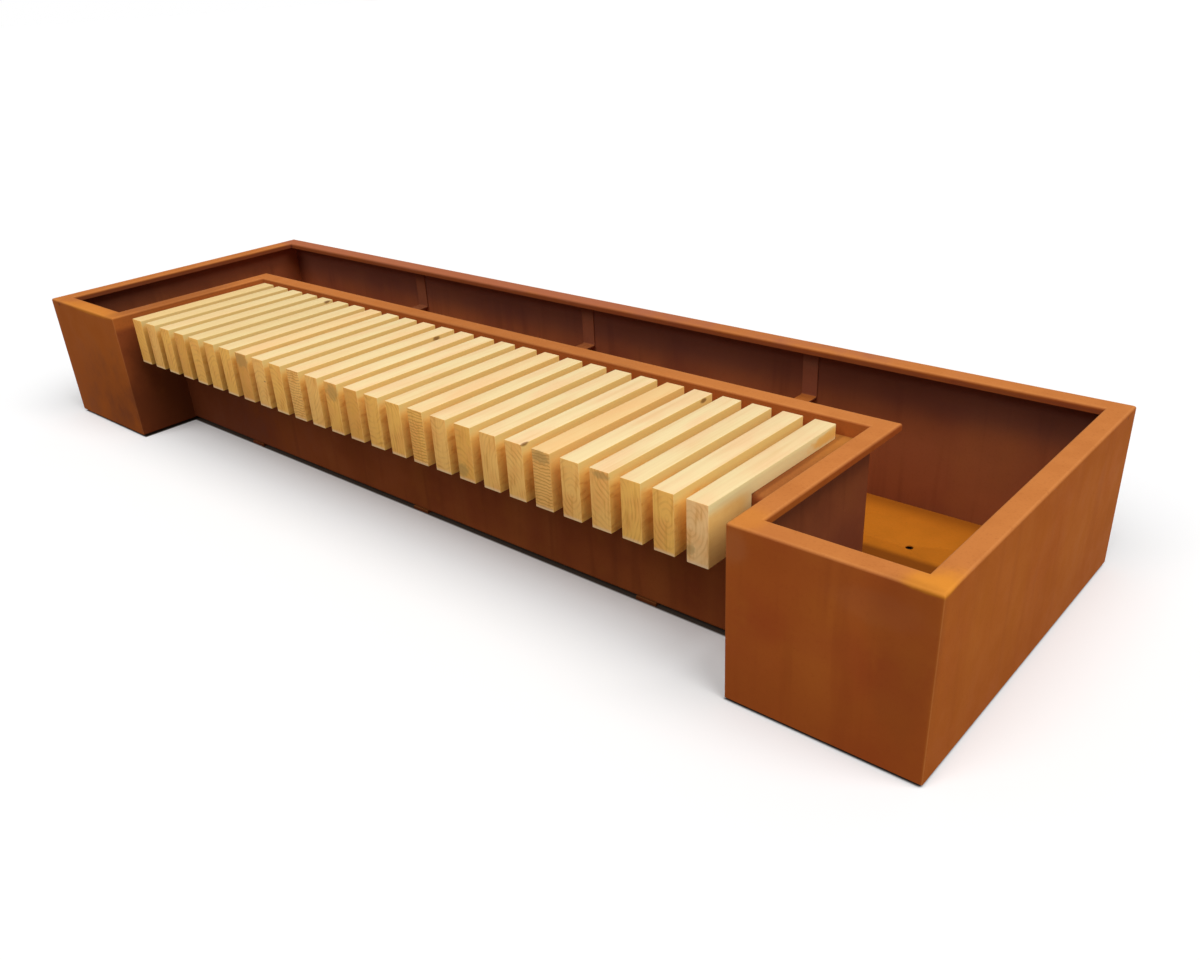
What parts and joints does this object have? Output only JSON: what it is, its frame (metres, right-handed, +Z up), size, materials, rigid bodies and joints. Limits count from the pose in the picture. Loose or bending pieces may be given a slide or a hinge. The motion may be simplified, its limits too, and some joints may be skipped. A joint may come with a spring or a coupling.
{
  "type": "bench with planter",
  "caption": "U-shaped weathering steel planter trough round the ends and back of a seat of notched pine slats that lie crosswise on a folded steel deck.",
  "frame": {"origin": "on the ground, under the middle of the length and the depth", "axes": "+X along the length, +Y from the sitters' feet towards the planter behind them, +Z up"},
  "size_m": [3.6, 1.1, 0.46],
  "materials": {
    "weathering_steel": "rusted, matt",
    "pine": "sawn and planed, bare",
    "screw_steel": "zinc plated"
  },
  "bodies": {
    "root": {"left_end_panel": "weathering_steel", "right_end_panel": "weathering_steel", "back_panel": "weathering_steel", "left_front_panel": "weathering_steel", "right_front_panel": "weathering_steel", "left_cheek_panel": "weathering_steel", "right_cheek_panel": "weathering_steel", "recess_back_panel": "weathering_steel", "back_floor": "weathering_steel", "left_floor": "weathering_steel", "right_floor": "weathering_steel", "left_brace": "weathering_steel", "middle_brace": "weathering_steel", "right_brace": "weathering_steel", "seat_deck": "weathering_steel", "deck_rib_1": "weathering_steel", "deck_rib_2": "weathering_steel", "deck_rib_3": "weathering_steel", "deck_rib_4": "weathering_steel", "deck_rib_5": "weathering_steel", "left_seat_bearer": "weathering_steel", "middle_seat_bearer": "weathering_steel", "right_seat_bearer": "weathering_steel", "left_arm_outer_bearer": "weathering_steel", "left_arm_inner_bearer": "weathering_steel", "right_arm_inner_bearer": "weathering_steel", "right_arm_outer_bearer": "weathering_steel", "slat_01": "pine", "slat_02": "pine", "slat_03": "pine", "slat_04": "pine", "slat_05": "pine", "slat_06": "pine", "slat_07": "pine", "slat_08": "pine", "slat_09": "pine", "slat_10": "pine", "slat_11": "pine", "slat_12": "pine", "slat_13": "pine", "slat_14": "pine", "slat_15": "pine", "slat_16": "pine", "slat_17": "pine", "slat_18": "pine", "slat_19": "pine", "slat_20": "pine", "slat_21": "pine", "slat_22": "pine", "slat_23": "pine", "slat_24": "pine", "slat_25": "pine", "slat_26": "pine", "slat_27": "pine", "slat_screws": "screw_steel"}
  },
  "joints": []
}
